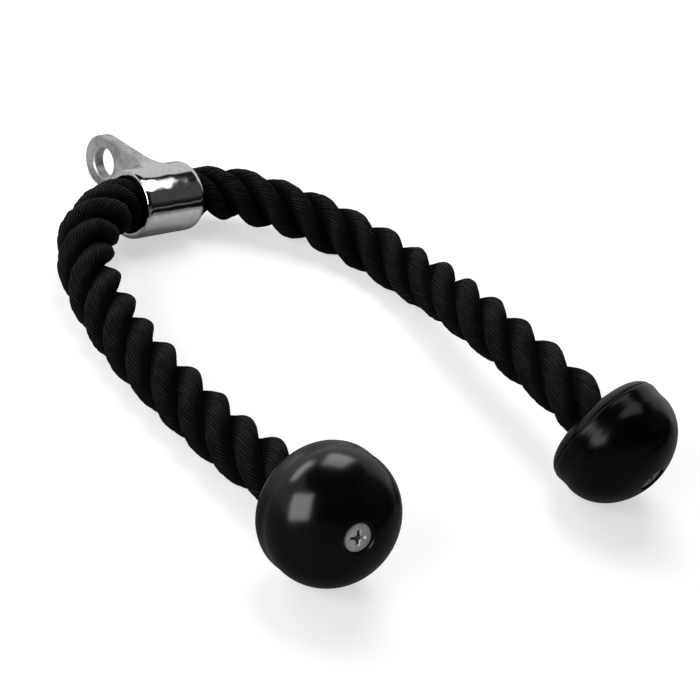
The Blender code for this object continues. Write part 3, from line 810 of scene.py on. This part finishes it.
class Nodes:
    """Short names for making the nodes of a new material or world, its owner."""

    def __init__(self, owner):
        owner.use_nodes = True
        self.owner = owner
        self.tree = owner.node_tree

    def node(self, kind, **values):
        made = self.tree.nodes.new(kind)
        for key, value in values.items():
            setattr(made, key, value)
        return made

    def link(self, source, target):
        self.tree.links.new(source, target)

    def coords(self, kind="Object"):
        return self.node("ShaderNodeTexCoord").outputs[kind]

    def scaled(self, vector, scale):
        made = self.node("ShaderNodeMapping")
        made.inputs["Scale"].default_value = scale
        self.link(vector, made.inputs["Vector"])
        return made.outputs["Vector"]

    def noise(self, vector, scale, detail=3.0, rough=0.6):
        made = self.node("ShaderNodeTexNoise")
        made.inputs["Scale"].default_value = scale
        made.inputs["Detail"].default_value = detail
        made.inputs["Roughness"].default_value = rough
        self.link(vector, made.inputs["Vector"])
        return made.outputs["Fac"]

    def attribute(self, name):
        return self.node("ShaderNodeAttribute", attribute_name=name).outputs["Fac"]

    def math(self, operation, *values, clamp=False):
        """A sum of sockets and numbers, such as a * b + c for MULTIPLY_ADD."""
        made = self.node("ShaderNodeMath", operation=operation, use_clamp=clamp)
        for socket, value in zip(made.inputs, values):
            if isinstance(value, (int, float)):
                socket.default_value = value
            else:
                self.link(value, socket)
        return made.outputs[0]

    def dot(self, vector, direction):
        """Dot product of a socket's vector and a fixed one."""
        made = self.node("ShaderNodeVectorMath", operation="DOT_PRODUCT")
        self.link(vector, made.inputs[0])
        made.inputs[1].default_value = direction
        return made.outputs["Value"]

    def darkened(self, share, colour, by):
        """Colour multiplied by another one, in the share of the surface that share says."""
        made = self.node("ShaderNodeMix", data_type="RGBA", blend_type="MULTIPLY")
        factor, first, second = made.inputs[0], made.inputs[6], made.inputs[7]
        self.link(share, factor)
        self.link(colour, first)
        if isinstance(by, (int, float)):
            second.default_value = (by, by, by, 1.0)
        else:
            self.link(by, second)
        return made.outputs[2]

    def ramp(self, value, *stops):
        """Colour ramp from (place, colour) stops, a colour being a grey or three numbers."""
        made = self.node("ShaderNodeValToRGB")
        self.link(value, made.inputs["Fac"])
        elements = made.color_ramp.elements
        while len(elements) < len(stops):
            elements.new(0.5)
        for element, (place, colour) in zip(elements, stops):
            element.position = place
            rgb = (colour,) * 3 if isinstance(colour, (int, float)) else colour
            element.color = (*rgb, 1.0)
        return made.outputs["Color"]

    def bump(self, height, strength, distance, before=None):
        made = self.node("ShaderNodeBump")
        made.inputs["Strength"].default_value = strength
        made.inputs["Distance"].default_value = distance
        self.link(height, made.inputs["Height"])
        if before is not None:
            self.link(before, made.inputs["Normal"])
        return made.outputs["Normal"]

    def finish(self, colour, roughness, normal, **constants):
        """Link the material's shader, set its constants and give the material."""
        inputs = self.tree.nodes["Principled BSDF"].inputs
        self.link(colour, inputs["Base Color"])
        self.link(roughness, inputs["Roughness"])
        self.link(normal, inputs["Normal"])
        for key, value in constants.items():
            inputs[key.replace("_", " ")].default_value = value
        return self.owner

    def finish_mixed(self, share, first, second, output):
        """Link an output of this kind to the first shader, and to the second one in its share."""
        mix = self.node("ShaderNodeMixShader")
        for socket, source in zip(mix.inputs, (share, first.outputs[0], second.outputs[0])):
            self.link(source, socket)
        self.link(mix.outputs[0], self.node(output).inputs["Surface"])


def nylon_material():
    """Black yarn, paler and smoother where its crests are worn and dusty, and darkened by painted shade in
    its valleys and grooves.
    """
    m = Nodes(bpy.data.materials.new("black_rope_yarn"))
    uv, place = m.coords("UV"), m.coords()
    # fibres run along each yarn: fine across it and long along it
    fibres = m.noise(m.scaled(uv, (4.0, 2.2, 1.0)), scale=1.6)
    patches = m.noise(place, scale=130.0, detail=4.0, rough=0.7)
    lint = m.noise(place, scale=900.0, detail=2.0)
    dusty = m.math("MULTIPLY_ADD", patches, 1.8, 0.08)
    # the crest attribute is partly wear on the crests and partly painted shade in the yarn valleys and
    # strand grooves; the patches are dust
    shade_and_wear = m.math("MULTIPLY", m.attribute("crest"), dusty, clamp=True)
    shade = m.math("MULTIPLY", shade_and_wear, m.math("ADD", fibres, 0.35), clamp=True)
    colour = m.ramp(shade, (0.0, 0.0001), (0.32, 0.0007), (0.75, 0.0070))
    roughness = m.ramp(shade, (0.1, 0.92), (0.75, 0.46))
    normal = m.bump(fibres, strength=0.55, distance=0.25 * MM)
    normal = m.bump(lint, strength=0.25, distance=0.1 * MM, before=normal)
    return m.finish(colour, roughness, normal, Specular_IOR_Level=0.065)


def rubber_material():
    """Glossy black rubber, with cloudy smears and drawn streaks."""
    m = Nodes(bpy.data.materials.new("black_moulded_rubber"))
    place = m.coords()
    mottle = m.noise(place, scale=38.0, detail=4.0, rough=0.55)
    grain = m.noise(place, scale=1400.0, detail=2.0)
    streaks = m.noise(m.scaled(place, (1.0, 0.25, 2.2)), scale=260.0)
    colour = m.ramp(mottle, (0.35, 0.0012), (0.65, 0.0026))
    roughness = m.ramp(mottle, (0.3, 0.17), (0.7, 0.26))
    normal = m.bump(streaks, strength=0.05, distance=0.4 * MM)
    normal = m.bump(grain, strength=0.06, distance=0.08 * MM, before=normal)
    return m.finish(colour, roughness, normal, Specular_IOR_Level=0.32)


def chrome_material():
    """Chrome, polished on the barrel and left cloudy, rippled and duller on the tab and in the bore."""
    m = Nodes(bpy.data.materials.new("polished_chrome_casting"))
    place = m.coords()
    tab, bore = m.attribute("tab"), m.attribute("bore")
    cloud = m.noise(place, scale=90.0)
    pits = m.noise(place, scale=420.0, rough=0.65)
    fine = m.noise(place, scale=2500.0, detail=2.0)
    bare = m.ramp(pits, (0.30, (0.66, 0.66, 0.67)), (0.55, (0.80, 0.80, 0.81)))
    colour = m.darkened(tab, bare, m.ramp(cloud, (0.36, 0.52), (0.62, 0.92)))
    polished = m.math("MULTIPLY_ADD", cloud, 0.05, 0.035)
    cast = m.math("MULTIPLY", tab, m.math("MULTIPLY", cloud, 0.34))
    roughness = m.math("ADD", polished, cast)
    roughness = m.math("ADD", roughness, m.math("MULTIPLY", bore, 0.3), clamp=True)
    ripple = m.math("MULTIPLY", m.math("MULTIPLY_ADD", tab, 0.9, 0.05), cloud)
    normal = m.bump(ripple, strength=0.5, distance=0.6 * MM)
    normal = m.bump(fine, strength=0.04, distance=0.05 * MM, before=normal)
    return m.finish(colour, roughness, normal, Metallic=1.0)


def zinc_material():
    """Spotted zinc plating, darker deeper in the cross recess."""
    m = Nodes(bpy.data.materials.new("zinc_plated_steel"))
    place = m.coords()
    spots = m.noise(place, scale=700.0, detail=4.0, rough=0.7)
    cloud = m.noise(place, scale=260.0)
    plating = m.ramp(spots, (0.28, 0.52), (0.5, 0.86), (0.8, 0.9632))
    colour = m.darkened(m.math("MULTIPLY", m.attribute("sunk"), 0.85), plating, by=0.05)
    roughness = m.ramp(cloud, (0.3, 0.36), (0.7, 0.58))
    normal = m.bump(spots, strength=0.35, distance=0.2 * MM)
    return m.finish(colour, roughness, normal, Metallic=0.55)


def aluminium_material():
    """Bare aluminium with tool marks along the ferrule."""
    m = Nodes(bpy.data.materials.new("crimped_aluminium"))
    marks = m.noise(m.scaled(m.coords(), (1.0, 1.0, 0.2)), scale=900.0)
    colour = m.ramp(marks, (0.3, 0.52), (0.7, 0.70))
    roughness = m.ramp(marks, (0.3, 0.30), (0.7, 0.48))
    return m.finish(colour, roughness, m.bump(marks, strength=0.3, distance=0.1 * MM), Metallic=1.0)


def plastic_material():
    """Grey plastic with a fine moulded grain."""
    m = Nodes(bpy.data.materials.new("grey_moulded_plastic"))
    grain = m.noise(m.coords(), scale=1100.0)
    colour = m.ramp(grain, (0.3, 0.36), (0.7, 0.44))
    roughness = m.ramp(grain, (0.3, 0.45), (0.7, 0.6))
    return m.finish(colour, roughness, m.bump(grain, strength=0.2, distance=0.08 * MM))


# Floor. Its painted falloff of light is how pale reflections and bounced light find it, from behind to
# before the object
FLOOR_HALF = 1.2
FLOOR_SHADE = 0.62
FLOOR_LIFT = 0.55
FLOOR_IN_GLOSS = 0.08
FLOOR_PAINTED_FALLOFF = (
    (0.0, 0.04), (0.34, 0.06), (0.46, 0.14), (0.55, 0.42), (0.58, 0.38), (0.64, 0.30), (1.0, 0.30),
)
FLOOR_PAINTED_FALLOFF_WAY = (0.35, 0.94)
FLOOR_PAINTED_FALLOFF_SPAN = 1.2


def floor_material():
    """Pale and matt, and lifted to white where the camera sees it, with the shadow left on it. Reflections
    and bounced light find a painted falloff of light on it.
    """
    m = Nodes(bpy.data.materials.new("pale_floor"))
    m.tree.nodes.clear()
    path = m.node("ShaderNodeLightPath")
    gloss, camera = path.outputs["Is Glossy Ray"], path.outputs["Is Camera Ray"]
    seen = m.math("MULTIPLY_ADD", gloss, FLOOR_IN_GLOSS, camera)
    seen = m.math("MAXIMUM", seen, path.outputs["Is Transmission Ray"])
    matt = m.node("ShaderNodeBsdfDiffuse")
    matt.inputs["Color"].default_value = (FLOOR_SHADE, FLOOR_SHADE, FLOOR_SHADE, 1.0)
    glow = m.node("ShaderNodeEmission")
    glow.inputs["Strength"].default_value = FLOOR_LIFT
    bright = m.node("ShaderNodeAddShader")
    m.link(matt.outputs[0], bright.inputs[0])
    m.link(glow.outputs[0], bright.inputs[1])
    # painted falloff of light: for reflections and bounced light the floor is darker before the object
    # than behind it
    along = m.dot(m.coords(), (*(v / FLOOR_PAINTED_FALLOFF_SPAN for v in FLOOR_PAINTED_FALLOFF_WAY), 0.0))
    share = m.math("ADD", along, 0.5, clamp=True)
    plain = m.node("ShaderNodeBsdfDiffuse")
    m.link(m.ramp(share, *FLOOR_PAINTED_FALLOFF), plain.inputs["Color"])
    m.finish_mixed(seen, plain, bright, "ShaderNodeOutputMaterial")
    return m.owner


def make_floor():
    corners = [(x * FLOOR_HALF, y * FLOOR_HALF, 0) for x, y in ((-1, -1), (1, -1), (1, 1), (-1, 1))]
    floor = new_mesh("floor", corners, [(0, 1, 2, 3)], smooth=False)
    floor.location.z = min(0.0, cad_low.z)
    floor.data.materials.append(floor_material())


# Studio walls as reflections see them, with the least level between them
BASE_LEVEL = 0.012
BACK_LEVEL = 0.76
FRONT_LEVEL = 0.12
SIDE_LEVEL = 0.06
LINE_LEVEL = 0.15


def toward(azimuth, elevation):
    """Unit vector to a place seen from the object: azimuth from +X towards +Y, in degrees."""
    a, e = math.radians(azimuth), math.radians(elevation)
    return Vector((math.cos(a) * math.cos(e), math.sin(a) * math.cos(e), math.sin(e)))


def make_world():
    """White where the camera sees it. Elsewhere a grey studio, paler behind the object than before it."""
    world = bpy.data.worlds.new("studio")
    bpy.context.scene.world = world
    m = Nodes(world)
    m.tree.nodes.clear()
    where = m.coords("Generated")

    def facing(azimuth, elevation, start, end):
        """0 to 1 as the cosine of the angle to a direction goes from start to end."""
        step = m.node("ShaderNodeMapRange", interpolation_type="SMOOTHSTEP")
        m.link(m.dot(where, toward(azimuth, elevation)), step.inputs["Value"])
        step.inputs["From Min"].default_value = min(start, end)
        step.inputs["From Max"].default_value = max(start, end)
        if start > end:
            return m.math("SUBTRACT", 1.0, step.outputs["Result"])
        return step.outputs["Result"]

    def product(level, *factors):
        for factor in factors:
            level = m.math("MULTIPLY", factor, level)
        return level

    def below(start, end):
        """1 below end and 0 above start, both given as the sine of an elevation."""
        return facing(0, 90, start, end)

    walls = (
        product(BACK_LEVEL, facing(78, 0, 0.0, 0.14), below(0.70, 0.66)),
        product(FRONT_LEVEL, facing(-112, 0, 0.55, 0.80), below(0.44, 0.18)),
        product(SIDE_LEVEL, facing(-35, 38, 0.91, 0.97)),
        product(LINE_LEVEL, facing(0, 90, 0.12, 0.14), below(0.20, 0.18), facing(-55, 8, 0.93, 0.96)),
    )
    strength = BASE_LEVEL
    for wall in walls:
        strength = m.math("ADD", wall, strength)
    studio = m.node("ShaderNodeBackground")
    m.link(strength, studio.inputs["Strength"])
    white = m.node("ShaderNodeBackground")
    white.inputs["Color"].default_value = (1.0, 1.0, 1.0, 1.0)
    path = m.node("ShaderNodeLightPath")
    seen = m.math("MAXIMUM", path.outputs["Is Camera Ray"], path.outputs["Is Transmission Ray"])
    m.finish_mixed(seen, studio, white, "ShaderNodeOutputWorld")


# Softboxes: where each is seen from its centre, its width, height and turn in degrees, how bright it looks
LIGHT_CENTRE = Vector((-0.09, -0.14, 0.05))
BARREL_TOP = Vector((-0.015, 0.108, 0.036))
RIGHT_BALL = Vector((0.078, -0.155, 0.048))
SOFTBOXES = (
    dict(
        name="softbox_left", azimuth=179, elevation=22, distance=2.0,
        wide=38, high=38, radiance=6.6, turn=35,
    ),
    dict(
        name="softbox_top", azimuth=55.4, elevation=52.9, distance=1.2,
        wide=30, high=32, radiance=5.6, turn=-30,
    ),
    dict(
        name="strip_back", azimuth=104.5, elevation=28, distance=2.0,
        wide=15, high=32, radiance=5.8, turn=68,
    ),
    dict(
        name="softbox_near", centre=BARREL_TOP, azimuth=0, elevation=82, distance=0.45,
        wide=40, high=62.8, radiance=1.5,
    ),
    dict(
        name="softbox_side", centre=RIGHT_BALL, azimuth=174, elevation=20, distance=2.0,
        wide=30, high=22, radiance=2.5, turn=40,
    ),
    dict(
        name="softbox_over", centre=RIGHT_BALL, azimuth=66, elevation=77, distance=1.2,
        wide=38, high=26, radiance=1.1,
    ),
)
# Objects that a softbox spares, and objects that it lights alone, so that each shows its own highlights
SPARED = {
    "softbox_left": ("right_ball",),
    "softbox_top": ("collar", "right_ball"),
    "strip_back": ("collar", "right_ball"),
}
LIT_ALONE = {
    "softbox_near": ("collar",),
    "softbox_side": ("right_ball",),
    "softbox_over": ("right_ball",),
}


def softbox(name, azimuth, elevation, distance, wide, high, radiance, turn=0, centre=LIGHT_CENTRE):
    """A rectangular lamp, so many degrees wide and high seen from centre, that looks radiance bright."""
    data = bpy.data.lights.new(name, "AREA")
    data.shape = "RECTANGLE"
    data.size = 2 * distance * math.tan(math.radians(wide / 2))
    data.size_y = 2 * distance * math.tan(math.radians(high / 2))
    data.energy = radiance * math.pi * data.size * data.size_y
    lamp = bpy.data.objects.new(name, data)
    bpy.context.scene.collection.objects.link(lamp)
    back = toward(azimuth, elevation)
    lamp.matrix_world = (
        Matrix.Translation(centre + back * distance)
        @ back.to_track_quat("Z", "Y").to_matrix().to_4x4()
        @ Matrix.Rotation(math.radians(turn), 4, "Z")
    )
    return lamp


def limit_light(lamp, objects, state):
    """Let lamp reach only these objects (INCLUDE), or all but these (EXCLUDE)."""
    group = bpy.data.collections.new(f"{lamp.name}_{state.lower()}")
    for obj in objects:
        group.objects.link(obj)
    for entry in group.collection_objects:
        entry.light_linking.link_state = state
    lamp.light_linking.receiver_collection = group


def make_lights(objects):
    """The studio and its softboxes, given by name the objects that they spare or light alone."""
    make_world()
    lamps = {values["name"]: softbox(**values) for values in SOFTBOXES}
    for state, limits in (("EXCLUDE", SPARED), ("INCLUDE", LIT_ALONE)):
        for lamp, names in limits.items():
            limit_light(lamps[lamp], [objects[name] for name in names], state)


def make_ropes(rope, nylon):
    """The rope's three pieces: the one in the barrel, and an arm on each side of it."""
    line, s, _ = rope
    inner_left = int(np.argmin(np.abs(s + MIDDLE_HALF)))
    inner_right = int(np.argmin(np.abs(s - MIDDLE_HALF)))
    parts = (
        ("left_laid_rope", 0, inner_left, "left_rope_arm"),
        ("middle_laid_rope", inner_left, inner_right, "rope_middle"),
        ("right_laid_rope", inner_right, len(line) - 1, "right_rope_arm"),
    )
    ropes = {}
    for name, start, end, node in parts:
        piece = laid_rope(name, start, end, rope)
        piece.data.materials.append(nylon)
        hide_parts(node)
        ropes[name] = (piece, line[start : end + 1])
    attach(ropes["middle_laid_rope"][0], "rope")
    left, left_path = ropes["left_laid_rope"]
    right, right_path = ropes["right_laid_rope"]
    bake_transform(left)
    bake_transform(right)


def finish_hidden_parts(zinc):
    """The CAD's own washers, ferrules and anchors keep their shape and get their finish."""
    finishes = {
        "washer": zinc,
        "crimp_ferrule": aluminium_material(),
        "screw_anchor": plastic_material(),
    }
    for side in ("left", "right"):
        for node, finish in finishes.items():
            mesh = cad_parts[f"{side}_{node}"].data
            mesh.materials.clear()
            mesh.materials.append(finish)


def main():
    make_camera()
    line, s, middle = rope_line()
    rope = (line, s, steady_frames(line, middle))
    nylon = nylon_material()
    make_ropes(rope, nylon)
    chrome, rubber, zinc = chrome_material(), rubber_material(), zinc_material()
    collar = make_collar(chrome)
    balls = {}
    for side, sign, points in (("left", -1, LEFT_POINTS), ("right", 1, RIGHT_POINTS)):
        balls[side] = make_ball(side, points, rubber)
        make_screw(side, points, zinc)
        make_rope_end(side, points, sign, rope, nylon)
    finish_hidden_parts(zinc)
    make_floor()
    make_lights({"collar": collar, "right_ball": balls["right"]})
    bpy.context.scene.view_settings.view_transform = "Standard"


main()
